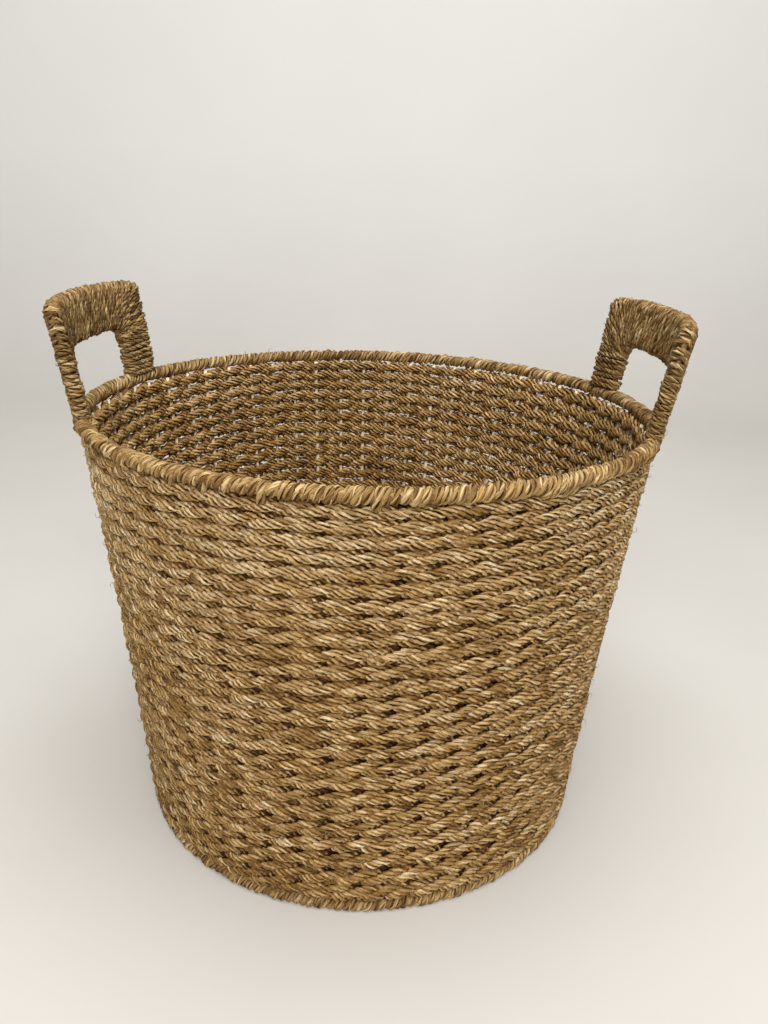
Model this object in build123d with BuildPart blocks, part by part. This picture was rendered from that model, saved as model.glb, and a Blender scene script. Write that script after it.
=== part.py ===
# Round laundry basket, woven from twisted seagrass rope on upright stakes.
# Millimetres, +Z up, origin on the floor under the middle of the base.
# The two handles stand on the rim at +X (right) and -X (left), and the front faces -Y.
from build123d import *
import os
from math import atan, cos, degrees, hypot, pi, sin, sqrt, tan

os.makedirs("parts", exist_ok=True)

# Overall sizes
rim_diameter = 450.0
rim_height = 342.0
base_diameter = 374.0
rim_overhang = 3.4
fit_gap = 0.3

# Rim and base rings, each a wire hoop wound with cord
rim_coil = 10.4
base_coil = 10.0
hoop_wire = 4.0

# Stakes, bent up from the floor to run inside the wall
stake_count = 56
stake_width = 3.2
stake_thickness = 2.4
spoke_spacing = 0.6

# Woven rows of the wall, each with a course outside and a course inside the stakes
row_count = 25
rope_thickness = 4.8
loosest_to_tightest = 1.3
rounded_share = 0.26

# Floor rows, above and below the spokes
floor_row_count = 11
floor_sides = 12

# Handles: an outer and an inner wire arch, wound together with cord
handle_wire = 3.0
handle_cord = 4.0
handle_flare = 0.17
outer_half_width = 92.0
outer_rise = 72.0
inner_half_width = 66.5
inner_rise = 44.5
inner_bend = 16.0
corner_squareness = 12.0
wrap_gap = 0.6
upright_loops = 5
corner_loops = 3
grip_loops = 15
wrap_start = 4.0
wrap_break = 6.5

# Facets of the handle wires and of their windings
wire_sides = 6
corner_facets = 6
grip_facets = 6
stations = 6
samples_per_run = 6

# Sizes worked out from those above
wall_sides = stake_count // 2
rim_radius = rim_diameter / 2
base_radius = base_diameter / 2
wall_top = rim_height - rim_coil - fit_gap
wall_bottom = base_coil + fit_gap
wall_slope = (rim_radius - rim_overhang - base_radius) / wall_top
stake_turn = pi / stake_count
spoke_top = wall_bottom + stake_thickness
hub_radius = stake_count * (stake_width + spoke_spacing) / (2 * pi)
hoop_top = rim_height - rim_coil / 2 + hoop_wire / 2


def wall_distance(height):
    """Distance from the axis to the outside of the wall."""
    return base_radius + wall_slope * height


def outer_seat(height):
    """Distance to the face of the outer course that lies on the stakes."""
    return wall_distance(height) - rope_thickness


def inner_seat(height):
    """Distance to the face of the inner course that lies on the stakes."""
    return outer_seat(height) - stake_thickness - 2 * fit_gap


def ring_path(distance, height, sides):
    """Closed many-sided path that starts in the middle of a side."""
    corner = distance / cos(pi / sides)
    points = [(distance, 0, height)]
    for side in range(sides):
        angle = (side + 0.5) * 2 * pi / sides
        points.append((corner * cos(angle), corner * sin(angle), height))
    return Polyline(*points, close=True)


def coil_outline(middle, centre_height, size):
    """Six-sided section of a wound ring, flat on top and underneath."""
    half = size / 2
    return [
        (middle + half, centre_height),
        (middle + half / 2, centre_height + half),
        (middle - half / 2, centre_height + half),
        (middle - half, centre_height),
        (middle - half / 2, centre_height - half),
        (middle + half / 2, centre_height - half),
    ]


# Handle geometry, on the cone that the two arches lie in
arch_radius = rim_radius - rim_coil / 2
flare_tilt = atan(handle_flare)
wire_corner = handle_wire / 2 / cos(pi / wire_sides)
cord_corner = handle_cord / 2 / cos(pi / wire_sides)
wrap_reach = wire_corner + cord_corner + wrap_gap
shoulder = wrap_reach * tan(pi / 8)
tip = wrap_reach / cos(pi / 4)
bend_along = inner_half_width - inner_bend
bend_rise = inner_rise - inner_bend
leg_end = hoop_top + fit_gap - rim_height + wire_corner * sin(flare_tilt)


def arch_point(turn, along, rise, lift=0.0):
    """Point of a handle, along the rim, up from it and out from the band."""
    angle = turn + along / arch_radius
    radius = arch_radius + handle_flare * rise + lift * cos(flare_tilt)
    return (radius * cos(angle), radius * sin(angle), rim_height + rise - lift * sin(flare_tilt))


def corner_pair(bend):
    """Where a ray from the bend's centre crosses the inner and the outer arch."""
    across = outer_half_width - bend_along
    upward = outer_rise - bend_rise
    squared = (cos(bend) / across) ** corner_squareness + (sin(bend) / upward) ** corner_squareness
    outward = squared ** (-1 / corner_squareness)
    inner = (bend_along + inner_bend * cos(bend), bend_rise + inner_bend * sin(bend))
    outer = (bend_along + outward * cos(bend), bend_rise + outward * sin(bend))
    return inner, outer


def upright_pair(loops_wound):
    """Inner and outer arch points at a stage of an upright's winding."""
    if loops_wound <= upright_loops:
        rise = wrap_start + (bend_rise - wrap_start) * loops_wound / upright_loops
        return (inner_half_width, rise), (outer_half_width, rise)
    return corner_pair(pi / 2 * (loops_wound - upright_loops) / corner_loops)


def grip_pair(loops_wound):
    """Inner and outer arch points at a stage of the grip's winding."""
    reach = bend_along - wrap_break
    along = reach - 2 * reach * loops_wound / grip_loops
    return (along, inner_rise), (along, outer_rise)


def winding_points(turn, hand, pair_at, loops):
    """Corners of a cord that goes round both arches, six to a loop."""
    points = []
    for step in range(loops * stations + 1):
        inner, outer = pair_at(step / stations)
        span = hypot(outer[0] - inner[0], outer[1] - inner[1])
        beyond, lift = (
            (-shoulder, wrap_reach),
            (span + shoulder, wrap_reach),
            (span + tip, 0),
            (span + shoulder, -wrap_reach),
            (-shoulder, -wrap_reach),
            (-tip, 0),
        )[step % stations]
        along = inner[0] + (outer[0] - inner[0]) * beyond / span
        rise = inner[1] + (outer[1] - inner[1]) * beyond / span
        points.append(arch_point(turn, hand * along, rise, lift))
    return points


def least_gap(points):
    """Smallest room between a cord and its own other loops, measured on points."""
    fine = []
    for first, second in zip(points, points[1:]):
        for sample in range(samples_per_run):
            share = sample / samples_per_run
            fine.append([a + (b - a) * share for a, b in zip(first, second)])
    apart = samples_per_run * stations // 2
    nearest = min(
        sqrt(sum((a - b) ** 2 for a, b in zip(one, other)))
        for place, one in enumerate(fine)
        for other in fine[place + apart:]
    )
    return nearest - 2 * cord_corner


def arch_points(turn, top, half_width, corner):
    """Corners of one wire arch, from foot to foot."""
    side = [(half_width, leg_end)]
    side += [corner(pi / 2 * facet / corner_facets) for facet in range(corner_facets + 1)]
    grip = [(bend_along - 2 * bend_along * facet / grip_facets, top) for facet in range(1, grip_facets)]
    far_side = [(-along, rise) for along, rise in reversed(side)]
    return [arch_point(turn, along, rise) for along, rise in side + grip + far_side]


def leg_frame(turn, along):
    """Plane square to a handle leg, at the leg's foot."""
    foot = Vector(*arch_point(turn, along, leg_end))
    head = Vector(*arch_point(turn, along, 0))
    return Plane(origin=foot, z_dir=head - foot)


handles = {"right": 0.0, "left": pi}

# Rim: a wire hoop inside a winding that the handle legs pass through
with BuildPart() as rim_hoop:
    with BuildLine():
        ring_path(arch_radius, rim_height - rim_coil / 2, wall_sides)
    with BuildSketch(Plane.XZ):
        with Locations((arch_radius, rim_height - rim_coil / 2)):
            Rectangle(hoop_wire, hoop_wire)
    sweep(transition=Transition.RIGHT)
rim_hoop.part.label = "rim_hoop"
export_step(rim_hoop.part, "parts/rim_hoop.step")

with BuildPart() as rim_wrap:
    with BuildLine():
        ring_path(arch_radius, rim_height - rim_coil / 2, wall_sides)
    with BuildSketch(Plane.XZ):
        Polygon(*coil_outline(arch_radius, rim_height - rim_coil / 2, rim_coil), align=None)
        with Locations((arch_radius, rim_height - rim_coil / 2)):
            Rectangle(hoop_wire + 2 * fit_gap, hoop_wire + 2 * fit_gap, mode=Mode.SUBTRACT)
    sweep(transition=Transition.RIGHT)
    for turn in handles.values():
        for along in (outer_half_width, inner_half_width, -inner_half_width, -outer_half_width):
            with BuildSketch(leg_frame(turn, along).offset(-fit_gap)):
                RegularPolygon(handle_wire / 2 + fit_gap, wire_sides, major_radius=False)
            extrude(amount=rim_coil, mode=Mode.SUBTRACT)
rim_wrap.part.label = "rim_wrap"
export_step(rim_wrap.part, "parts/rim_wrap.step")

# Base ring: the same make, and what the basket stands on
base_middle = base_radius - base_coil / 2
with BuildPart() as base_hoop:
    with BuildLine():
        ring_path(base_middle, base_coil / 2, wall_sides)
    with BuildSketch(Plane.XZ):
        with Locations((base_middle, base_coil / 2)):
            Rectangle(hoop_wire, hoop_wire)
    sweep(transition=Transition.RIGHT)
base_hoop.part.label = "base_hoop"
export_step(base_hoop.part, "parts/base_hoop.step")

with BuildPart() as base_wrap:
    with BuildLine():
        ring_path(base_middle, base_coil / 2, wall_sides)
    with BuildSketch(Plane.XZ):
        Polygon(*coil_outline(base_middle, base_coil / 2, base_coil), align=None)
        with Locations((base_middle, base_coil / 2)):
            Rectangle(hoop_wire + 2 * fit_gap, hoop_wire + 2 * fit_gap, mode=Mode.SUBTRACT)
    sweep(transition=Transition.RIGHT)
base_wrap.part.label = "base_wrap"
export_step(base_wrap.part, "parts/base_wrap.step")

# Stakes: each runs out from the hub as a spoke, bends, and climbs to the rim
stake_scale = 1 / cos(stake_turn)
stake_foot = (outer_seat(wall_bottom) - fit_gap) * stake_scale
stake_head = (outer_seat(wall_top) - fit_gap) * stake_scale
spoke_end = (outer_seat(spoke_top) - fit_gap) * stake_scale - stake_thickness
with BuildPart() as stakes:
    for index in range(stake_count):
        with BuildSketch(Plane.XZ.rotated((0, 0, degrees((2 * index + 1) * stake_turn)))):
            Polygon(
                (hub_radius, wall_bottom),
                (stake_foot, wall_bottom),
                (stake_head, wall_top),
                (stake_head - stake_thickness, wall_top),
                (spoke_end, spoke_top),
                (hub_radius, spoke_top),
                align=None,
            )
    extrude(amount=stake_width / 2, both=True)
stakes.part.label = "stakes"
export_step(stakes.part, "parts/stakes.step")

# Wall rows, looser at the bottom and tighter at the top
loosening = [
    loosest_to_tightest + (1 - loosest_to_tightest) * row / (row_count - 1) for row in range(row_count)
]
row_floor = wall_bottom
for row, weight in enumerate(loosening):
    row_ceiling = row_floor + (wall_top + fit_gap - wall_bottom) * weight / sum(loosening)
    low = row_floor
    high = row_ceiling - fit_gap
    inner_low = max(low, spoke_top + fit_gap)
    inner_middle = (inner_low + high) / 2
    rounding = rounded_share * (high - low)
    name = f"weave_row_{row + 1:02d}"
    with BuildPart() as weave_row:
        with BuildLine():
            ring_path(outer_seat(low), low, wall_sides)
        with BuildSketch(Plane.XZ):
            Polygon(
                (outer_seat(low), low),
                (wall_distance(low + rounding), low + rounding),
                (wall_distance(high - rounding), high - rounding),
                (outer_seat(high), high),
                align=None,
            )
            Polygon(
                (inner_seat(inner_low), inner_low),
                (inner_seat(inner_middle) - rope_thickness, inner_middle),
                (inner_seat(high), high),
                align=None,
            )
        sweep(transition=Transition.RIGHT)
    weave_row.part.label = name
    export_step(weave_row.part, f"parts/{name}.step")
    row_floor = row_ceiling

# Floor rows, in rings above and below the spokes, and the centre that they start from
floor_edge = min(
    base_radius - base_coil,
    inner_seat(spoke_top) - rope_thickness,
) - fit_gap
floor_reach = floor_edge * cos(pi / floor_sides)
floor_pitch = (floor_reach - hub_radius) / floor_row_count
for name, seat, ridge in (
    ("floor_rows_upper", spoke_top + fit_gap, spoke_top + fit_gap + rope_thickness),
    ("floor_rows_lower", wall_bottom - fit_gap, wall_bottom - fit_gap - rope_thickness),
):
    with BuildPart() as floor_rows:
        for row in range(floor_row_count):
            inside = hub_radius + row * floor_pitch + fit_gap
            outside = hub_radius + (row + 1) * floor_pitch
            with BuildLine():
                ring_path(inside, seat, floor_sides)
            with BuildSketch(Plane.XZ):
                Polygon((inside, seat), (outside, seat), ((inside + outside) / 2, ridge), align=None)
            sweep(transition=Transition.RIGHT)
    floor_rows.part.label = name
    export_step(floor_rows.part, f"parts/{name}.step")

centre_bottom = wall_bottom - fit_gap - rope_thickness
centre_top = spoke_top + fit_gap + rope_thickness
with BuildPart() as floor_centre:
    with BuildSketch(Plane.XY.offset(centre_bottom)):
        RegularPolygon(hub_radius - fit_gap, floor_sides, rotation=180 / floor_sides)
    extrude(amount=centre_top - centre_bottom)
    chamfer(floor_centre.edges().filter_by(Plane.XY), rope_thickness / 2)
floor_centre.part.label = "floor_centre"
export_step(floor_centre.part, "parts/floor_centre.step")

# Handles: two wire arches and three windings on each
for side, turn in handles.items():
    for arch, top, half_width, corner in (
        ("inner", inner_rise, inner_half_width, lambda bend: corner_pair(bend)[0]),
        ("outer", outer_rise, outer_half_width, lambda bend: corner_pair(bend)[1]),
    ):
        name = f"{side}_handle_{arch}_wire"
        with BuildPart() as handle_arch:
            with BuildLine() as arch_line:
                Polyline(*arch_points(turn, top, half_width, corner))
            with BuildSketch(Plane(origin=arch_line.line @ 0, z_dir=arch_line.line % 0)):
                RegularPolygon(handle_wire / 2, wire_sides, major_radius=False)
            sweep(transition=Transition.RIGHT)
        handle_arch.part.label = name
        export_step(handle_arch.part, f"parts/{name}.step")

    for place, hand, pair_at, loops in (
        ("front_upright", -1 if side == "right" else 1, upright_pair, upright_loops + corner_loops),
        ("rear_upright", 1 if side == "right" else -1, upright_pair, upright_loops + corner_loops),
        ("grip", 1, grip_pair, grip_loops),
    ):
        name = f"{side}_handle_{place}_wrap"
        points = winding_points(turn, hand, pair_at, loops)
        with BuildPart() as winding:
            with BuildLine() as cord_line:
                Polyline(*points)
            with BuildSketch(Plane(origin=cord_line.line @ 0, z_dir=cord_line.line % 0)):
                RegularPolygon(handle_cord / 2, wire_sides, major_radius=False)
            sweep(transition=Transition.RIGHT)
        winding.part.label = name
        export_step(winding.part, f"parts/{name}.step")
        print(f"{name}: {loops} loops, least gap to itself {least_gap(points):.2f} mm")
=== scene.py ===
import bpy
import numpy as np
from mathutils import Matrix, Vector


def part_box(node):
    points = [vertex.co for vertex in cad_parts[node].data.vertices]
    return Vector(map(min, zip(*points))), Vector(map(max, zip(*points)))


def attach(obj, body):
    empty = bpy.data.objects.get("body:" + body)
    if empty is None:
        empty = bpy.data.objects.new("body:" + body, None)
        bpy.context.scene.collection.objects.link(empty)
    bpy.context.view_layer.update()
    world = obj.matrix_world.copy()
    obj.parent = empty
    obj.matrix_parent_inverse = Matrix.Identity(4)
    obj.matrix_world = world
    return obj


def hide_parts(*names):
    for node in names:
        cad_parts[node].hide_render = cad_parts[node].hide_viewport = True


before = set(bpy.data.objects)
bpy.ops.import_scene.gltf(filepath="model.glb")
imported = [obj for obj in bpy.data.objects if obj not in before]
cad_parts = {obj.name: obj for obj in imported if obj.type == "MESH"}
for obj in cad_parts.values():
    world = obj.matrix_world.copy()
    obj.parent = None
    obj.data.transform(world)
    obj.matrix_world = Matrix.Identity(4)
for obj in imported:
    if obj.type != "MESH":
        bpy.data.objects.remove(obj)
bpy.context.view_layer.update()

rng = np.random.default_rng(20)
mm = 0.001
full_turn = 2 * np.pi

# Ropes: plies, corners round a ply, its half thickness, its place off the middle and the length of a twist
wall_rope = {
    "plies": 4, "sides": 4, "radius": 1.2 * mm, "offset": 1.7 * mm, "lay": 20 * mm,
    "flatten": 0.80, "spread": 1.35, "flat": 1.25,
}
floor_rope = dict(wall_rope, lay=25 * mm)
ring_cord = {
    "plies": 3, "sides": 6, "radius": 1.35 * mm, "offset": 1.2 * mm, "lay": 24 * mm,
    "flatten": 0.65, "spread": 1.35, "flat": 1.4,
}
handle_cord = {
    "plies": 3, "sides": 5, "radius": 1.15 * mm, "offset": 1.15 * mm, "lay": 20 * mm,
    "flatten": 0.80, "spread": 1.15, "flat": 1.3,
}
blade_length = 10 * mm
rope_outside = 2.4 * mm
cord_outside = 1.8 * mm

# Sizes of the basket: from the parts of model.glb, close to the solids or, for the foot and bow of the wall,
# chosen here
row_names = sorted(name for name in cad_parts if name.startswith("weave_row_"))
rim_low, rim_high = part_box("rim_wrap")
base_low, base_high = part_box("base_wrap")
rim_coil = rim_high.z - rim_low.z
base_coil = base_high.z - base_low.z
rim_middle = rim_high.x - rim_coil / 2
base_middle = base_high.x - base_coil / 2
fit_gap = 0.3 * mm
wall_bottom = base_coil + fit_gap
wall_top = rim_low.z - fit_gap
hub_radius = 34 * mm
stake_count = 56
stake_foot = 181 * mm
wall_slope = 0.1044
wall_bow = 2 * mm
spoke_lift = 1.2 * mm
spoke_height = wall_bottom + spoke_lift

# How pale the pieces are, from nought for the darkest grass to one for the palest
lowest_row_tone = 0.44
# row_tone_rise paints the upper rows paler: painted light on the top of the wall
row_tone_rise = 0.22
rim_tone = 0.34
base_tone = 0.46
handle_tone = 0.29
floor_tone = 0.42
bundle_tone = 0.3
cane_tone = 0.55
fray_tone = 0.85


def stake_radius(height):
    """Distance from the axis to the middle of the stakes, which bow in a little half way up."""
    share = height / wall_top
    return stake_foot + wall_slope * height - 4 * wall_bow * share * (1 - share)


# Smooth numbers and directions along lines


def smooth_step(share):
    """Rises softly from nought to one."""
    share = np.clip(share, 0, 1)
    return share * share * (3 - 2 * share)


def smooth_noise(count, knots, closed=True):
    """Smooth random numbers of about unit spread, with so many bumps along a run."""
    fewest_knots = 4
    short_of_end = 0.001
    knots = max(int(knots), fewest_knots)
    values = rng.normal(size=knots)
    if closed:
        place = np.arange(count) * knots / count
    else:
        place = np.linspace(0, knots - 1 - short_of_end, count)
    start = place.astype(int)
    share = smooth_step(place - start)
    return values[start % knots] * (1 - share) + values[(start + 1) % knots] * share


def unit(vectors):
    return vectors / np.linalg.norm(vectors, axis=1, keepdims=True)


def run_lengths(points, closed):
    """Distance along a line at each of its points, and the whole length."""
    ends = np.roll(points, -1, axis=0) if closed else points[1:]
    steps = np.linalg.norm(ends - points[: len(ends)], axis=1)
    along = np.concatenate([[0.0], np.cumsum(steps)])
    return along[: len(points)], along[-1]


def tangents(points, closed):
    if closed:
        return unit(np.roll(points, -1, axis=0) - np.roll(points, 1, axis=0))
    return unit(np.gradient(points, axis=0))


def round_points(radius, angle, height):
    """Points at a distance from the axis, an angle round it and a height."""
    return np.stack([radius * np.cos(angle), radius * np.sin(angle), height], axis=1)


# Strands and the ropes twisted from them


def strand(points, away, radius, closed, tone, warm, sides=5, flat=1.0, ribs=0.0):
    """One strand. away points from the middle of its rope, flat widens it, ribs raises fibres on it."""
    fibre_length = 16 * mm
    forward = tangents(points, closed)
    first = unit(away - np.sum(away * forward, axis=1, keepdims=True) * forward)
    second = np.cross(forward, first)
    angles = np.pi + full_turn * (np.arange(sides) + sides % 2 / 2) / sides
    along, length = run_lengths(points, closed)
    radius = np.repeat(np.broadcast_to(radius, len(points))[:, None], sides, axis=1)
    if ribs:
        raised = [smooth_noise(len(points), length / fibre_length, closed) for side in range(sides)]
        radius = radius * (1 + ribs * np.stack(raised, axis=1))
    ring = np.cos(angles)[None, :, None] * first[:, None, :]
    ring = ring + flat * np.sin(angles)[None, :, None] * second[:, None, :]
    return {
        "vertices": points[:, None, :] + radius[:, :, None] * ring,
        # The cosine of the way each vertex faces from its rope's middle; the material paints shade where it
        # faces inward
        "facing": np.broadcast_to(np.cos(angles), (len(points), sides)),
        "tone": np.broadcast_to(tone, len(points)),
        "warm": np.broadcast_to(warm, len(points)),
        "along": along,
        "length": length,
        "closed": closed,
        "sides": sides,
    }


def grass_tone(count, length, mean, closed):
    """Tone along a strand: grass blades of other shades follow one another."""
    blade_change = 0.14
    patch_change = 0.06
    patch_length = 6 * blade_length
    tone = mean + blade_change * smooth_noise(count, length / blade_length, closed)
    return tone + patch_change * smooth_noise(count, length / patch_length, closed)


def grass_warmth(count, length, closed):
    """Nought along most of a strand, more where an orange blade shows."""
    orange_length = 14 * mm
    steepness = 1.6
    rarity = 2.9
    most = 0.8
    return np.clip(smooth_noise(count, length / orange_length, closed) * steepness - rarity, 0, most)


def rope(centre, out, closed, mean_tone, kind, scale=1.0):
    """Plies twisted round a centre line. out is the side of the rope that is seen, scale its thickness."""
    twist_change, twist_length = 0.5, 24 * mm
    place_change = 0.14
    thickness_change = 0.15
    tone_change = 0.04
    rib_height = 0.1
    forward = tangents(centre, closed)
    side = unit(np.cross(forward, out))
    out = np.cross(side, forward)
    along, length = run_lengths(centre, closed)
    count = len(centre)
    scale = np.broadcast_to(scale, count)
    turns = max(round(length / kind["lay"]), 1)
    twist = full_turn * turns * along / length
    twist = twist + twist_change * smooth_noise(count, length / twist_length, closed)
    strands = []
    for ply in range(kind["plies"]):
        angle = (twist + full_turn * ply / kind["plies"])[:, None]
        offset = kind["flatten"] * np.cos(angle) * out + kind["spread"] * np.sin(angle) * side
        wander = scale * (1 + place_change * smooth_noise(count, length / blade_length, closed))
        points = centre + kind["offset"] * wander[:, None] * offset
        swell = 1 + thickness_change * smooth_noise(count, length / blade_length, closed)
        ply_tone = mean_tone + tone_change * rng.normal()
        tone = grass_tone(count, length, ply_tone, closed)
        warm = grass_warmth(count, length, closed)
        strands.append(strand(
            points, offset, scale * kind["radius"] * swell, closed, tone, warm,
            sides=kind["sides"], flat=kind["flat"], ribs=rib_height,
        ))
    return strands


def bundle(centre, out, radius, closed):
    """Grass laid under a winding, seen only between its turns, where it gets painted shade all over."""
    points_per_bump = 8
    tone_change = 0.1
    shaded = 0.1
    tone = bundle_tone + tone_change * smooth_noise(len(centre), len(centre) / points_per_bump, closed)
    core = strand(centre, out, radius, closed, tone, 0.0, sides=8)
    # Painted shade over the whole bundle
    core["facing"] = np.full_like(core["facing"], shaded)
    return core


def fray(start, out, tone):
    """A loose fibre that leaves its rope and curls."""
    point_count = 7
    shortest, longest = 1.0 * mm, 3.2 * mm
    least_curl, most_curl = 0.4 * np.pi, 1.5 * np.pi
    rise = 0.55
    sideways = 0.8
    half_thickness = 0.3 * mm
    taper = 0.6
    roll = 0.3
    share = np.linspace(0, 1, point_count)[:, None]
    drift = np.cross(out, unit(rng.normal(size=(1, 3)))[0])
    drift = drift / np.linalg.norm(drift)
    across = np.cross(out, drift)
    size = shortest + (longest - shortest) * rng.random() ** 2
    curl = share * (least_curl + (most_curl - least_curl) * rng.random())
    points = start + size * (np.sin(curl) * drift + rise * (1 - np.cos(curl)) * out)
    points = points + sideways * size * share ** 2 * across
    radius = half_thickness * (1 - taper * share[:, 0])
    away = np.broadcast_to(out + roll * across, points.shape)
    return strand(points, away, radius, False, tone, 0.0, sides=4)


def cord_frays(centre, out, places, count):
    """Loose fibres on the outside of a cord, at some of these places along it."""
    return [
        fray(centre[index] + cord_outside * out[index], out[index], fray_tone)
        for index in rng.choice(places, count)
    ]


# Meshes: all strands of a piece lie in lanes side by side on one sheet of coordinates


def side_faces(item, spans, lane, lanes):
    """Faces along a strand: their vertices, places along and round it, and places on the sheet."""
    lane_start, lane_length = 0.01, 0.98
    lane_edge, lane_width = 0.08, 0.84
    count, sides = item["vertices"].shape[:2]
    segments = count if item["closed"] else count - 1
    segment = np.repeat(np.arange(segments), sides)
    side = np.tile(np.arange(sides), segments)
    ahead = (segment + 1) % count
    beside = (side + 1) % sides
    corners = np.stack([
        segment * sides + side, segment * sides + beside,
        ahead * sides + beside, ahead * sides + side,
    ], axis=1)
    ends = np.append(item["along"], item["length"])
    low = ends[segment]
    high = ends[segment + 1]
    lengthwise = np.stack([low, low, high, high], axis=1)
    across = np.stack([side, side + 1, side + 1, side], axis=1) / sides
    per_span = int(np.ceil(segments / spans))
    step = segment % per_span
    along_lane = np.stack([step, step, step + 1, step + 1], axis=1) / per_span
    u = lane_start + lane_length * along_lane
    v = (lane + (segment // per_span)[:, None] + lane_edge + lane_width * across) / lanes
    return corners, np.stack([lengthwise, across], axis=2), np.stack([u, v], axis=2)


def end_faces(item, lane, lanes):
    """The two ends of an open strand, in the same form as its sides, each a dot at an end of its lane."""
    first_edge, last_edge = 0.005, 0.995
    dot_length, dot_width = 0.003, 0.02
    count, sides = item["vertices"].shape[:2]
    first_ring = np.arange(sides)[::-1]
    last_ring = np.arange(sides) + (count - 1) * sides
    share = np.arange(sides) / sides
    faces = []
    for ring, edge in ((first_ring, first_edge), (last_ring, last_edge)):
        place = np.stack([np.full(sides, ring[0] * mm), share], axis=1)
        u = edge + dot_length * np.cos(full_turn * share)
        v = (lane + 0.5 + dot_width * np.sin(full_turn * share)) / lanes
        faces.append((ring[None], place[None], np.stack([u, v], axis=1)[None]))
    return faces


def vertex_values(item, title):
    """A value for each vertex of a strand, also where it has only one for each point along it."""
    values = item[title]
    return values.ravel() if values.ndim == 2 else np.repeat(values, item["sides"])


def new_mesh(name, vertices, face_groups):
    """Mesh from vertices and groups of faces, where all faces of a group have as many corners."""
    corners = np.concatenate([group.ravel() for group in face_groups])
    totals = np.concatenate([np.full(len(group), group.shape[1]) for group in face_groups])
    mesh = bpy.data.meshes.new(name)
    mesh.vertices.add(len(vertices))
    mesh.vertices.foreach_set("co", vertices.ravel())
    mesh.loops.add(len(corners))
    mesh.loops.foreach_set("vertex_index", corners)
    mesh.polygons.add(len(totals))
    mesh.polygons.foreach_set("loop_start", np.concatenate([[0], np.cumsum(totals)[:-1]]))
    mesh.update(calc_edges=True)
    mesh.validate()
    return mesh


def strands_mesh(name, strands):
    """Joins strands into one mesh, with their coordinates and their values for the material."""
    lane_width = 9 * mm
    shortest_lane = 25 * mm
    whole_length = sum(item["length"] for item in strands)
    lane_length = max(np.sqrt(whole_length * lane_width), shortest_lane)
    spans = [int(np.ceil(item["length"] / lane_length)) for item in strands]
    lanes = sum(spans)
    corners, places, atlas = [], [], []
    first = 0
    lane = 0
    for item, span_count in zip(strands, spans):
        faces = [side_faces(item, span_count, lane, lanes)]
        if not item["closed"]:
            faces += end_faces(item, lane, lanes)
        for face_corners, face_places, face_atlas in faces:
            corners.append(face_corners + first)
            places.append(face_places.ravel())
            atlas.append(face_atlas.ravel())
        first += item["facing"].size
        lane += span_count
    mesh = new_mesh(name, np.concatenate([item["vertices"].reshape(-1, 3) for item in strands]), corners)
    for title, values in (("OFBake", atlas), ("strand", places)):
        layer = mesh.uv_layers.new(name=title)
        layer.uv.foreach_set("vector", np.concatenate(values))
    for title in ("tone", "facing", "warm"):
        attribute = mesh.attributes.new(title, "FLOAT", "POINT")
        values = np.concatenate([vertex_values(item, title) for item in strands])
        attribute.data.foreach_set("value", values.astype(np.float32))
    mesh.shade_smooth()
    return mesh


def build(name, strands, material, nodes):
    """Makes one piece of strands, and puts it in the place of its nodes."""
    mesh = strands_mesh(name, strands)
    mesh.materials.append(material)
    piece = bpy.data.objects.new(name, mesh)
    bpy.context.scene.collection.objects.link(piece)
    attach(piece, "root")
    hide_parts(*nodes)


# Materials

rope_shades = [
    (0.05, (0.13, 0.058, 0.010)),
    (0.35, (0.40, 0.226, 0.060)),
    (0.60, (0.68, 0.460, 0.205)),
    (0.92, (0.86, 0.690, 0.430)),
]
cord_shades = [
    (0.05, (0.15, 0.070, 0.014)),
    (0.35, (0.41, 0.258, 0.092)),
    (0.60, (0.655, 0.472, 0.222)),
    (0.98, (0.86, 0.710, 0.450)),
]
# Painted shade: multipliers for grass that faces into its rope, lies deep in the wall or sits in a seam
# between rows
painted_crevice_shade = [
    (0, (0.16, 0.085, 0.022)),
    (0.5, (0.58, 0.45, 0.26)),
    (1, (1, 1, 1)),
]
# Painted shade in the thin seams between grass blades
painted_seam_shade = [
    (0, (0.55, 0.44, 0.28)),
    (1, (1, 1, 1)),
]
cane_shades = [
    (0.1, (0.36, 0.27, 0.15)),
    (0.5, (0.80, 0.65, 0.41)),
    (0.9, (0.93, 0.82, 0.58)),
]
wire_shades = [
    (0.35, (0.16, 0.14, 0.12)),
    (0.62, (0.30, 0.28, 0.26)),
    (0.75, (0.22, 0.11, 0.05)),
]
cloth_shades = [
    (0.3, (0.60, 0.573, 0.527)),
    (0.7, (0.63, 0.603, 0.557)),
]
backdrop_shades = [
    (0.3, (0.86, 0.845, 0.815)),
    (0.7, (0.88, 0.865, 0.835)),
]
orange_rope = (0.66, 0.40, 0.13)
orange_cord = (0.66, 0.41, 0.14)


def new_material(name):
    material = bpy.data.materials.new(name)
    material.use_nodes = True
    nodes = material.node_tree.nodes
    return material, nodes, material.node_tree.links, nodes["Principled BSDF"]


def math_node(nodes, links, operation, *values):
    node = nodes.new("ShaderNodeMath")
    node.operation = operation
    for socket, value in zip(node.inputs, values):
        if isinstance(value, (int, float)):
            socket.default_value = value
        else:
            links.new(value, socket)
    return node.outputs[0]


def attribute_node(nodes, title):
    node = nodes.new("ShaderNodeAttribute")
    node.attribute_name = title
    return node.outputs["Fac"]


def noise_node(nodes, links, vector, scale, detail):
    node = nodes.new("ShaderNodeTexNoise")
    node.inputs["Scale"].default_value = scale
    node.inputs["Detail"].default_value = detail
    links.new(vector, node.inputs["Vector"])
    return node.outputs["Fac"]


def object_place(nodes):
    return nodes.new("ShaderNodeTexCoord").outputs["Object"]


def range_node(nodes, links, value, low, high, interpolation):
    """Nought at low, one at high."""
    node = nodes.new("ShaderNodeMapRange")
    node.interpolation_type = interpolation
    node.inputs["From Min"].default_value = low
    node.inputs["From Max"].default_value = high
    links.new(value, node.inputs["Value"])
    return node.outputs["Result"]


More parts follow.
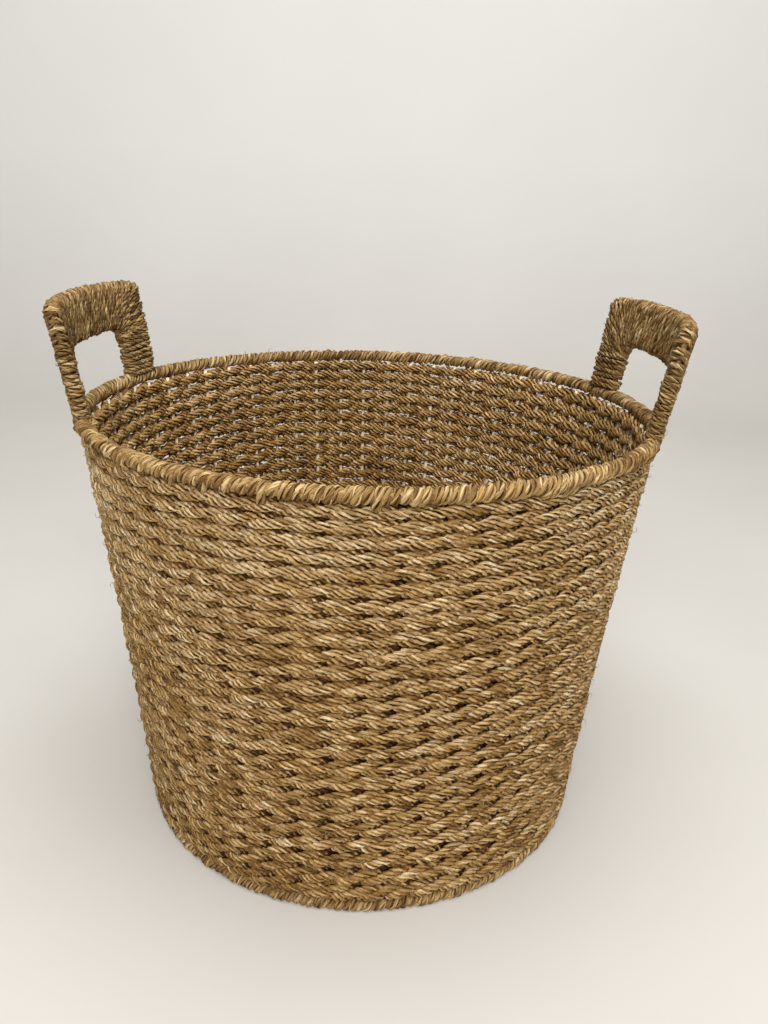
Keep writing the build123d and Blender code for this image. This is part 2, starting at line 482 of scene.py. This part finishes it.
def strand_fibres(nodes, links, stretch, across):
    """Fine streaks that run along a strand."""
    place = nodes.new("ShaderNodeUVMap")
    place.uv_map = "strand"
    scale = nodes.new("ShaderNodeVectorMath")
    scale.operation = "MULTIPLY"
    scale.inputs[1].default_value = (stretch, across, 1)
    links.new(place.outputs["UV"], scale.inputs[0])
    return noise_node(nodes, links, scale.outputs["Vector"], scale=1, detail=2)


def seams_between(nodes, links, fibres, width):
    """One on a blade, nought in the thin seam between two blades, where the material paints shade."""
    distance = math_node(nodes, links, "SUBTRACT", fibres, 0.5)
    distance = math_node(nodes, links, "ABSOLUTE", distance)
    return range_node(nodes, links, distance, 0, width, "SMOOTHSTEP")


def ramp_node(nodes, links, value, stops):
    node = nodes.new("ShaderNodeValToRGB")
    ramp = node.color_ramp
    while len(ramp.elements) < len(stops):
        ramp.elements.new(0.5)
    for element, (position, colour) in zip(ramp.elements, stops):
        element.position = position
        element.color = (*colour, 1)
    links.new(value, node.inputs["Fac"])
    return node.outputs["Color"]


def mix_colours(nodes, links, kind, share, first, second):
    node = nodes.new("ShaderNodeMix")
    node.data_type = "RGBA"
    node.blend_type = kind
    inputs = [item for item in node.inputs if item.enabled]
    for socket, value in zip(inputs, (share, first, second)):
        if isinstance(value, tuple):
            socket.default_value = (*value, 1)
        elif isinstance(value, (int, float)):
            socket.default_value = value
        else:
            links.new(value, socket)
    return [item for item in node.outputs if item.enabled][0]


def add_bump(nodes, links, shader, height, strength, distance):
    bump = nodes.new("ShaderNodeBump")
    bump.inputs["Strength"].default_value = strength
    bump.inputs["Distance"].default_value = distance
    links.new(height, bump.inputs["Height"])
    links.new(bump.outputs["Normal"], shader.inputs["Normal"])


def grass_material(name, shades, orange, deepest, clear):
    """Dry twisted grass: blades of many shades, with painted shade in the seams between them and where the
    plies meet.

    deepest and clear say how far round a ply, as the cosine, the painted shade between plies reaches.
    """
    blade_share, fibre_share, patch_share = 0.8, 0.45, 0.35
    least_rough, rough_change = 0.5, 0.3
    fibre_relief = 0.6
    material, nodes, links, shader = new_material(name)
    blades = strand_fibres(nodes, links, stretch=55, across=6)
    fibres = strand_fibres(nodes, links, stretch=90, across=17)
    # Seams between blades: painted shade in the colour, and a dip in the bump
    seams = seams_between(nodes, links, blades, width=0.05)
    patches = noise_node(nodes, links, object_place(nodes), scale=14, detail=2)
    tone = attribute_node(nodes, "tone")
    for source, share in ((blades, blade_share), (fibres, fibre_share), (patches, patch_share)):
        change = math_node(nodes, links, "MULTIPLY_ADD", source, share, -share / 2)
        tone = math_node(nodes, links, "ADD", tone, change)
    colour = ramp_node(nodes, links, tone, shades)
    colour = mix_colours(nodes, links, "MIX", attribute_node(nodes, "warm"), colour, orange)
    facing = attribute_node(nodes, "facing")
    # Painted shade, darkest where the grass faces into its rope or lies deep
    crevice_shading = range_node(nodes, links, facing, deepest, clear, "SMOOTHSTEP")
    for depth, dark_shades in ((crevice_shading, painted_crevice_shade), (seams, painted_seam_shade)):
        shade = ramp_node(nodes, links, depth, dark_shades)
        colour = mix_colours(nodes, links, "MULTIPLY", 1.0, colour, shade)
    links.new(colour, shader.inputs["Base Color"])
    roughness = math_node(nodes, links, "MULTIPLY_ADD", fibres, rough_change, least_rough)
    links.new(roughness, shader.inputs["Roughness"])
    shader.inputs["Specular IOR Level"].default_value = 0.3
    relief = math_node(nodes, links, "MULTIPLY_ADD", fibres, fibre_relief, seams)
    add_bump(nodes, links, shader, relief, strength=0.7, distance=0.5 * mm)
    return material


def cane_material():
    """Peeled cane: pale, with fibres along it."""
    fibre_share = 0.7
    material, nodes, links, shader = new_material("peeled_cane")
    fibres = strand_fibres(nodes, links, stretch=60, across=9)
    change = math_node(nodes, links, "MULTIPLY_ADD", fibres, fibre_share, -fibre_share / 2)
    tone = math_node(nodes, links, "ADD", change, attribute_node(nodes, "tone"))
    links.new(ramp_node(nodes, links, tone, cane_shades), shader.inputs["Base Color"])
    shader.inputs["Roughness"].default_value = 0.55
    add_bump(nodes, links, shader, fibres, strength=0.4, distance=0.4 * mm)
    return material


def wire_material():
    """Dull drawn steel wire with specks of rust."""
    least_rough, rough_change = 0.25, 0.4
    material, nodes, links, shader = new_material("drawn_wire")
    specks = noise_node(nodes, links, object_place(nodes), scale=220, detail=4)
    links.new(ramp_node(nodes, links, specks, wire_shades), shader.inputs["Base Color"])
    shader.inputs["Metallic"].default_value = 0.85
    roughness = math_node(nodes, links, "MULTIPLY_ADD", specks, rough_change, least_rough)
    links.new(roughness, shader.inputs["Roughness"])
    add_bump(nodes, links, shader, specks, strength=0.2, distance=0.2 * mm)
    return material


def floor_material():
    """Pale cloth, fading into a paler wall as the floor sweeps up."""
    wall_height = 0.6
    material, nodes, links, shader = new_material("pale_floor")
    place = object_place(nodes)
    mottle = noise_node(nodes, links, place, scale=3, detail=3)
    cloth = ramp_node(nodes, links, mottle, cloth_shades)
    backdrop = ramp_node(nodes, links, mottle, backdrop_shades)
    split = nodes.new("ShaderNodeSeparateXYZ")
    links.new(place, split.inputs[0])
    climb = range_node(nodes, links, split.outputs["Z"], 0, wall_height, "LINEAR")
    links.new(mix_colours(nodes, links, "MIX", climb, cloth, backdrop), shader.inputs["Base Color"])
    shader.inputs["Roughness"].default_value = 0.9
    return material


rope_grass = grass_material("seagrass_rope", rope_shades, orange_rope, deepest=-0.8, clear=0.6)
cord_grass = grass_material("seagrass_cord", cord_shades, orange_cord, deepest=-0.7, clear=0.35)
cane = cane_material()
wire = wire_material()
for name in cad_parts:
    if name.endswith("_hoop") or name.endswith("_wire"):
        node_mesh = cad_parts[name].data
        node_mesh.materials.clear()
        node_mesh.materials.append(wire)


# Stakes, a little uneven as they stand in the weave


def uneven_turns(spread, most):
    """Small random turns of the stakes round the basket, given as distances along the rim."""
    return np.clip(spread * rng.normal(size=stake_count), -most, most) / rim_middle


stake_shift = uneven_turns(spread=1.3 * mm, most=2 * mm)
stake_lean = uneven_turns(spread=0.8 * mm, most=1.5 * mm)


def stake_angle(index, height):
    """Where a stake stands round the basket at a height."""
    regular = (2 * index + 1) * np.pi / stake_count
    return regular + stake_shift[index] + stake_lean[index] * height / wall_top


def stake_phase(angle, height):
    """Counts stakes passed round the basket, with fractions between them."""
    overlap = 3
    known = np.arange(-overlap, stake_count + overlap + 1)
    angles = stake_angle(np.arange(stake_count), height)
    places = angles[known % stake_count] + full_turn * (known // stake_count)
    laps = np.floor(angle / full_turn)
    return np.interp(angle - laps * full_turn, places, known) + laps * stake_count


def stake_outline():
    """Distance from the axis and height along a stake: along the floor, round the bend and up the wall."""
    bend = 6 * mm
    spoke_points, bend_points, wall_points = 12, 7, 40
    corner = stake_radius(spoke_height) - bend
    spoke = np.linspace(hub_radius, corner, spoke_points)
    turn = np.linspace(0, np.pi / 2 - np.arctan(wall_slope), bend_points)[1:-1]
    climb = np.linspace(spoke_height + bend, wall_top, wall_points)
    radius = np.concatenate([spoke, corner + bend * np.sin(turn), stake_radius(climb)])
    height = np.concatenate([
        np.full(spoke_points, spoke_height), spoke_height + bend * (1 - np.cos(turn)), climb,
    ])
    return radius, height


def make_stakes():
    half_width = 1.45 * mm
    width_change, width_bumps = 0.08, 12
    stake_tone_change = 0.12
    tone_change, tone_bumps = 0.10, 9
    downward = -0.8
    radius, height = stake_outline()
    count = len(radius)
    strands = []
    for index in range(stake_count):
        angle = stake_angle(index, height)
        points = round_points(radius, angle, height)
        away = round_points(1, angle, np.full(count, downward))
        thickness = half_width * (1 + width_change * smooth_noise(count, width_bumps, False))
        tone = cane_tone + stake_tone_change * rng.normal()
        tone = tone + tone_change * smooth_noise(count, tone_bumps, False)
        strands.append(strand(points, away, thickness, False, tone, 0.0, sides=7, flat=1.15))
    build("stakes_cane", strands, cane, ["stakes"])


# Wall rows: three ropes that each pass outside two stakes and inside the next

ropes_per_row = 3
points_per_round = 560
tight_pitch = 11 * mm
middling_pitch = 13 * mm
loose_pitch = 14.5 * mm

# How far a rope lies out of the line of the stakes, in millimetres
row_depth_waves = (1.23, -3.73, -0.93, -0.17)


def wave_sum(waves, turn):
    """A steady part and the waves on it, the first once in a course of a rope, the next twice and so on."""
    return sum(size * np.cos(order * turn) for order, size in enumerate(waves))


def row_lean(angle, height):
    """How far a row climbs above its level round the basket, and how much wider its spacing becomes there.

    Rows lean most half way up the wall and not at all at its ends, so they spread or crowd in between.
    """
    steepest = 8.5 * mm
    level_place = -np.pi / 2 - 0.5
    wall_height = wall_top - wall_bottom
    off_middle = 2 * (height - wall_bottom) / wall_height - 1
    tilt = steepest * np.sin(2 * (angle - level_place))
    return tilt * (1 - off_middle ** 4), 1 - 8 * tilt * off_middle ** 3 / wall_height


def row_openness(pitch):
    """How far the ropes of a row leave the stakes bare round the basket, most where rows are loose."""
    change, bumps = 0.45, 45
    least, most = 0.1, 1.1
    tight_mean, middling_mean, loose_mean = 0.3, 0.5, 0.95
    pitches = (tight_pitch, middling_pitch, loose_pitch)
    mean = np.interp(pitch, pitches, (tight_mean, middling_mean, loose_mean))
    uneven = np.tile(smooth_noise(points_per_round, bumps), ropes_per_row)
    return np.clip(mean + change * uneven, least, most)


def row_path(row, low, high):
    """Centre line of a row's rope, which takes three rounds to come back to its start."""
    count = points_per_round * ropes_per_row
    bumps = stake_count * ropes_per_row
    sway_size, sway_bumps = 0.2 * mm, 26
    level_change = 0.2 * mm
    tight_stack, loose_stack = 0.235, 0.275
    depth_change = 0.35
    skew = 0.8
    steady_share = 0.82
    inside_depth = 2 * mm
    thickest = 1.04
    least_spread, most_spread = 0.9, 1.2
    depths, thicknesses = (-3, 0, 3), (1.15, 1.19, 1.04)
    angle = full_turn * np.arange(count) / points_per_round
    height = (low + high) / 2
    pitch = high - low + fit_gap
    lean, spacing = row_lean(angle, height)
    turn = full_turn * (stake_phase(angle, height) - 2 * row) / ropes_per_row
    course = wave_sum(row_depth_waves, turn)
    stack_share = np.interp(pitch, (tight_pitch, loose_pitch), (tight_stack, loose_stack))
    sway = sway_size * np.tile(smooth_noise(points_per_round, sway_bumps), ropes_per_row)
    openness = row_openness(pitch)
    level = level_change * smooth_noise(count, bumps) - stack_share * pitch * spacing * np.sin(turn)
    depth = course * (steady_share + (1 - steady_share) * openness)
    depth = mm * (depth + skew * np.sin(turn) + depth_change * smooth_noise(count, bumps))
    size = np.clip(pitch / tight_pitch, 1, thickest) * np.clip(spacing, least_spread, most_spread)
    outward = unit(round_points(1, angle, np.full(count, -wall_slope)))
    upward = unit(round_points(wall_slope, angle, np.ones(count)))
    middle = round_points(stake_radius(height), angle, np.full(count, height))
    middle = middle + (lean + sway)[:, None] * upward
    return {
        "centre": middle + depth[:, None] * outward + level[:, None] * upward,
        "middle": middle,
        "outward": outward,
        "upward": upward,
        "thickness": size * np.interp(course, depths, thicknesses),
        "half_pitch": pitch * spacing / 2,
        "open": openness,
        # How far the rope lies inside the wall, which sets the painted shade there
        "inside": smooth_step(-depth / inside_depth),
    }


def paint_row_shade(strands, path):
    """Paints shade on what lies deep in the wall, most of all towards the outside, and on the seams between
    rows.

    Strands on the inside of the wall are also painted darker and more alike, as painted shade.
    """
    deep_reach = 4.2 * mm
    rope_width = 3 * mm
    loosest = 1.4
    seam_start, seam_width = 0.75, 0.25
    deep_anywhere, deep_outside, deep_loose = 0.3, 0.2, 0.9
    seam_anywhere, seam_outside = 0.5, 0.6
    inside_drop, inside_evening = 0.18, 0.5
    loose = (path["open"] * np.clip(2 * path["half_pitch"] / tight_pitch, 1, loosest) ** 2)[:, None]
    for item in strands:
        points = item["vertices"]
        depth = np.abs(np.hypot(points[:, :, 0], points[:, :, 1]) - stake_radius(points[:, :, 2]))
        turned_out = np.einsum("kij,kj->ki", points - path["centre"][:, None, :], path["outward"])
        outside = smooth_step(0.5 + turned_out / rope_width)
        strength = deep_anywhere + (deep_outside + deep_loose * loose) * outside
        deep = strength * smooth_step(1 - depth / deep_reach)
        from_middle = np.einsum("kij,kj->ki", points - path["middle"][:, None, :], path["upward"])
        seam = np.abs(from_middle) / path["half_pitch"][:, None]
        seam = smooth_step((seam - seam_start) / seam_width)
        # Painted shade deep in the wall, in the holes of loose rows and along the seams between rows
        item["facing"] = item["facing"] - deep - (seam_anywhere + seam_outside * outside) * seam
        # Painted shade on the inside of the wall: inner strands darker and more even
        uneven = item["tone"] - item["tone"].mean()
        item["tone"] = item["tone"] - path["inside"] * (inside_drop + inside_evening * uneven)


def make_rows():
    frays_per_row = 28
    inner_percent = 60
    tone_curve, tone_change = 1.5, 0.02
    darkest_fray, fray_change = 0.75, 0.25
    for row, name in enumerate(row_names):
        low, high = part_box(name)
        path = row_path(row, low.z, high.z)
        centre, outward = path["centre"], path["outward"]
        # Painted light: the upper rows are paler
        tone = lowest_row_tone + row_tone_rise * (row / len(row_names)) ** tone_curve
        tone = tone + tone_change * rng.normal()
        strands = rope(centre, outward, True, tone, wall_rope, path["thickness"])
        paint_row_shade(strands, path)
        distance = np.linalg.norm(centre[:, :2], axis=1)
        outermost = np.flatnonzero(distance > np.percentile(distance, inner_percent))
        for index in rng.choice(outermost, frays_per_row):
            start = centre[index] + rope_outside * outward[index]
            strands.append(fray(start, outward[index], darkest_fray + fray_change * rng.random()))
        build(name + "_rope", strands, rope_grass, [name])


# Rim and base windings


def ring_winding(ring_radius, ring_height, coil_radius, wraps, stitch_share, stitch_drop):
    """Centre line of a cord wound round a hoop. Some turns reach down over the row below."""
    per_wrap = 13
    wobble_share, wobbles_per_wrap = 0.15, 0.8
    reach_change = 0.09
    stitch_roundness = 0.7
    shortest_stitch = 0.5
    count = wraps * per_wrap
    around = full_turn * np.arange(count) / per_wrap
    wobble = smooth_noise(count, wraps * wobbles_per_wrap) * wobble_share * full_turn / wraps
    angle = full_turn * np.arange(count) / count + wobble
    reach = coil_radius * (1 + reach_change * smooth_noise(count, wraps))
    stitched = rng.random(wraps) < stitch_share
    drop = stitch_drop * (shortest_stitch + (1 - shortest_stitch) * rng.random(wraps))
    drop = np.where(stitched, drop, 0)
    down = np.repeat(drop, per_wrap) * np.clip(-np.sin(around), 0, 1) ** stitch_roundness
    centre = round_points(
        ring_radius + reach * np.cos(around), angle, ring_height + reach * np.sin(around) - down)
    return centre, round_points(np.cos(around), angle, np.sin(around))


def ring_core(ring_radius, ring_height, thickness):
    """The bundle of grass under a ring's winding."""
    point_count = 360
    outwards = 0.6 * mm
    angle = full_turn * np.arange(point_count) / point_count
    away = round_points(1, angle, np.zeros(point_count))
    centre = round_points(ring_radius + outwards, angle, np.full(point_count, ring_height))
    return bundle(centre, away, thickness, True)


def make_rim():
    wraps = 250
    coil_radius, core_radius = 3.5 * mm, 3.7 * mm
    fray_count = 40
    lowest_fray = -0.3
    height = rim_high.z - rim_coil / 2
    centre, out = ring_winding(rim_middle, height, coil_radius, wraps, stitch_share=0.15, stitch_drop=5 * mm)
    strands = rope(centre, out, True, rim_tone, ring_cord)
    strands.append(ring_core(rim_middle, height, core_radius))
    strands += cord_frays(centre, out, np.flatnonzero(out[:, 2] > lowest_fray), fray_count)
    build("rim_wrap_cord", strands, cord_grass, ["rim_wrap"])


def make_base():
    wraps = 216
    coil_radius, core_radius = 3.4 * mm, 3.6 * mm
    lowest = 0.1 * mm
    height = base_coil / 2
    centre, out = ring_winding(base_middle, height, coil_radius, wraps, stitch_share=0, stitch_drop=0)
    strands = rope(centre, out, True, base_tone, ring_cord)
    strands.append(ring_core(base_middle, height, core_radius))
    for item in strands:
        heights = item["vertices"][:, :, 2]
        heights[:] = np.maximum(heights, lowest)
    build("base_wrap_cord", strands, cord_grass, ["base_wrap"])


# Handles: one cord wound round two wire arches, from foot to foot

handle_flare = 0.17
outer_half_width, outer_rise = 92 * mm, 72 * mm
inner_half_width, inner_rise = 66.5 * mm, 44.5 * mm
inner_bend = 16 * mm
bend_along = inner_half_width - inner_bend
bend_rise = inner_rise - inner_bend
corner_squareness = 12
wrap_reach = 4 * mm
foot_rise = -2 * mm
upright_loops = 7
corner_loops = 18
grip_loops = 19


def handle_point(turn, along, rise, lift):
    """Points of a handle: along the rim, up from it and out from the band."""
    tilt = np.arctan(handle_flare)
    radius = rim_middle + handle_flare * rise + lift * np.cos(tilt)
    height = rim_high.z + rise - lift * np.sin(tilt)
    return round_points(radius, turn + along / rim_middle, height)


def handle_pair(wound):
    """Inner and outer arch, along and up, after so many loops of the winding."""
    half = upright_loops + corner_loops + grip_loops / 2
    mirrored = np.where(wound > half, -1, 1)
    wound = np.minimum(wound, 2 * half - wound)
    climb = np.clip(wound / upright_loops, 0, 1)
    bend = np.clip((wound - upright_loops) / corner_loops, 0, 1) * np.pi / 2
    glide = np.clip((wound - upright_loops - corner_loops) / (grip_loops / 2), 0, 1)
    middle_along = bend_along * (1 - glide)
    middle_rise = foot_rise + (bend_rise - foot_rise) * climb
    across, upward = outer_half_width - bend_along, outer_rise - bend_rise
    squared = (np.cos(bend) / across) ** corner_squareness + (np.sin(bend) / upward) ** corner_squareness
    outward = squared ** (-1 / corner_squareness)
    inner = mirrored * (middle_along + inner_bend * np.cos(bend)), middle_rise + inner_bend * np.sin(bend)
    outer = mirrored * (middle_along + outward * np.cos(bend)), middle_rise + outward * np.sin(bend)
    return inner, outer


def handle_winding(turn, start, stop):
    """Centre line of the cord between two stages of the winding, and the side of it that is seen."""
    per_loop = 26
    reach_change, reach_bumps_per_loop = 0.10, 2
    shift_size, shifts_per_loop = 0.6 * mm, 1.5
    loops = stop - start
    count = round(loops * per_loop) + 1
    wound = np.linspace(start, stop, count)
    inner, outer = handle_pair(wound)
    span_along, span_rise = outer[0] - inner[0], outer[1] - inner[1]
    span = np.hypot(span_along, span_rise)
    reach = wrap_reach * (1 + reach_change * smooth_noise(count, loops * reach_bumps_per_loop, False))
    half_loop = span + np.pi * reach
    travelled = (wound % 1) * 2 * half_loop
    side = np.where(travelled < half_loop, 1, -1)
    travelled = np.where(side > 0, travelled, travelled - half_loop)
    turned = np.clip((travelled - span) / reach, 0, np.pi)
    run = np.minimum(travelled, span)
    run = np.where(side > 0, run, span - run)
    beyond = side * reach * np.sin(turned)
    lift = side * reach * np.cos(turned)
    shift = shift_size * smooth_noise(count, loops * shifts_per_loop, False)
    along = inner[0] + span_along * (run + beyond) / span + shift * span_rise / span
    rise = inner[1] + span_rise * (run + beyond) / span - shift * span_along / span
    centre = handle_point(turn, along, rise, lift)
    wire_along = inner[0] + span_along * run / span
    wire_rise = inner[1] + span_rise * run / span
    return centre, unit(centre - handle_point(turn, wire_along, wire_rise, np.zeros(count)))


def handle_cores(turn, start, stop):
    """Grass laid along the two arches, under the winding."""
    point_count = 40
    core_radius = 2.3 * mm
    cores = []
    for along, rise in handle_pair(np.linspace(start, stop, point_count)):
        centre = handle_point(turn, along, rise, 0)
        outside = handle_point(turn, along, rise, 1 * mm)
        cores.append(bundle(centre, unit(outside - centre), core_radius, False))
    return cores


def make_handles():
    frays_per_piece = 5
    grip_start = upright_loops + corner_loops
    grip_stop = grip_start + grip_loops
    whole = grip_stop + grip_start
    for side, turn, first, last in (
        ("right", 0, "rear_upright", "front_upright"),
        ("left", np.pi, "front_upright", "rear_upright"),
    ):
        for place, start, stop in (
            (first, 0, grip_start), ("grip", grip_start, grip_stop), (last, grip_stop, whole),
        ):
            centre, out = handle_winding(turn, start, stop)
            strands = rope(centre, out, False, handle_tone, handle_cord)
            strands += handle_cores(turn, start, stop)
            strands += cord_frays(centre, out, len(centre), frays_per_piece)
            name = f"{side}_handle_{place}_wrap"
            build(name + "_cord", strands, cord_grass, [name])


# Floor: rows like those of the wall, woven on the spokes, and a coiled centre

floor_row_count = 11
floor_reach = 175 * mm

# How far a rope lies above the spokes, in millimetres
floor_height_waves = (0.9, -3.4, -0.6)


def spokes_together(ring):
    """How many spokes a rope passes at once: more near the middle, where they crowd."""
    fours_end, pairs_end = 55 * mm, 110 * mm
    if ring < fours_end:
        return 4
    if ring < pairs_end:
        return 2
    return 1


def make_floor():
    point_distance = 3.6 * mm
    stack_share = 0.25
    sway_size, sway_bumps = 0.4 * mm, 50
    rope_scale = 1.12
    pitch = (floor_reach - hub_radius) / floor_row_count
    strands = []
    for row in range(floor_row_count):
        ring = hub_radius + (row + 0.5) * pitch
        per_round = int(full_turn * ring / point_distance)
        count = ropes_per_row * per_round
        angle = full_turn * np.arange(count) / per_round
        group = spokes_together(ring)
        step = (stake_phase(angle, spoke_height) + 0.5 * (group - 1)) / group - 2 * row
        turn = full_turn * step / ropes_per_row
        radius = ring + stack_share * pitch * np.sin(turn) + sway_size * smooth_noise(count, sway_bumps)
        height = spoke_height + mm * wave_sum(floor_height_waves, turn)
        above = np.tile([0.0, 0.0, 1.0], (count, 1))
        strands += rope(round_points(radius, angle, height), above, True, floor_tone, floor_rope, rope_scale)
    build("floor_rows_rope", strands, rope_grass, ["floor_rows_upper", "floor_rows_lower"])


def make_centre():
    coil_pitch = 5.6 * mm
    coil_edge = 3 * mm
    coil_height = 3.6 * mm
    first_share = 0.01
    point_count = 300
    rope_scale = 0.92
    turns = (hub_radius - coil_edge) / coil_pitch
    angle = full_turn * turns * np.sqrt(np.linspace(first_share, 1, point_count))
    radius = coil_pitch * angle / full_turn
    strands = []
    for up in (1, -1):
        height = np.full(point_count, spoke_height + up * coil_height)
        above = np.tile([0.0, 0.0, float(up)], (point_count, 1))
        centre = round_points(radius, up * angle, height)
        strands += rope(centre, above, False, floor_tone, wall_rope, rope_scale)
    build("floor_centre_rope", strands, rope_grass, ["floor_centre"])


make_stakes()
make_rows()
make_rim()
make_base()
make_handles()
make_floor()
make_centre()

# Stage, light and camera


def make_stage():
    """Pale floor that sweeps up into a backdrop."""
    half_width = 5.0
    front, back, top = -4.0, 1.3, 5.0
    bend, bend_points = 0.6, 12
    turn = np.linspace(0, np.pi / 2, bend_points)
    sweep = [(back + bend * np.sin(a), bend * (1 - np.cos(a))) for a in turn]
    outline = [(front, 0.0), *sweep, (back + bend, top)]
    vertices = [(x, y, z) for x in (-half_width, half_width) for y, z in outline]
    count = len(outline)
    faces = [(k, count + k, count + k + 1, k + 1) for k in range(count - 1)]
    mesh = bpy.data.meshes.new("floor")
    mesh.from_pydata(vertices, [], faces)
    mesh.shade_smooth()
    mesh.materials.append(floor_material())
    floor = bpy.data.objects.new("floor", mesh)
    bpy.context.scene.collection.objects.link(floor)


def add_area(name, place, size, power):
    """A square lamp that shines on the middle of the basket."""
    aim = Vector((0, 0, 0.2))
    lamp = bpy.data.lights.new(name, "AREA")
    lamp.shape = "SQUARE"
    lamp.size = size
    lamp.energy = power
    lamp_object = bpy.data.objects.new(name, lamp)
    lamp_object.location = place
    lamp_object.rotation_euler = (aim - Vector(place)).to_track_quat("-Z", "Y").to_euler()
    bpy.context.scene.collection.objects.link(lamp_object)


def make_light():
    world = bpy.data.worlds.new("studio")
    world.use_nodes = True
    background = world.node_tree.nodes["Background"]
    background.inputs["Color"].default_value = (1.0, 0.985, 0.96, 1)
    background.inputs["Strength"].default_value = 0.21
    bpy.context.scene.world = world
    add_area("overhead", (0.1, -0.4, 2.8), size=2.4, power=72)
    add_area("front", (0.05, -1.7, 1.4), size=0.9, power=28)


def make_camera():
    """The photo's view, from the front and a little above."""
    place = Vector((0.0100, -0.6762, 0.4975))
    yaw, pitch, roll = 0.0053, 0.3565, 0.0341
    focal_pixels = 860
    image_height = 1024
    sensor = 36
    forward = Vector((np.sin(yaw) * np.cos(pitch), np.cos(yaw) * np.cos(pitch), -np.sin(pitch)))
    level = Vector((np.cos(yaw), -np.sin(yaw), 0))
    above = level.cross(forward)
    right = level * np.cos(roll) + above * np.sin(roll)
    up = above * np.cos(roll) - level * np.sin(roll)
    camera = bpy.data.cameras.new("camera")
    camera.sensor_width = sensor
    camera.lens = focal_pixels / image_height * sensor
    camera.clip_start = 0.02
    camera_object = bpy.data.objects.new("camera", camera)
    axes = Matrix((right, up, -forward)).transposed().to_4x4()
    camera_object.matrix_world = Matrix.Translation(place) @ axes
    bpy.context.scene.collection.objects.link(camera_object)
    bpy.context.scene.camera = camera_object


make_stage()
make_light()
make_camera()
bpy.context.scene.view_settings.view_transform = "Standard"
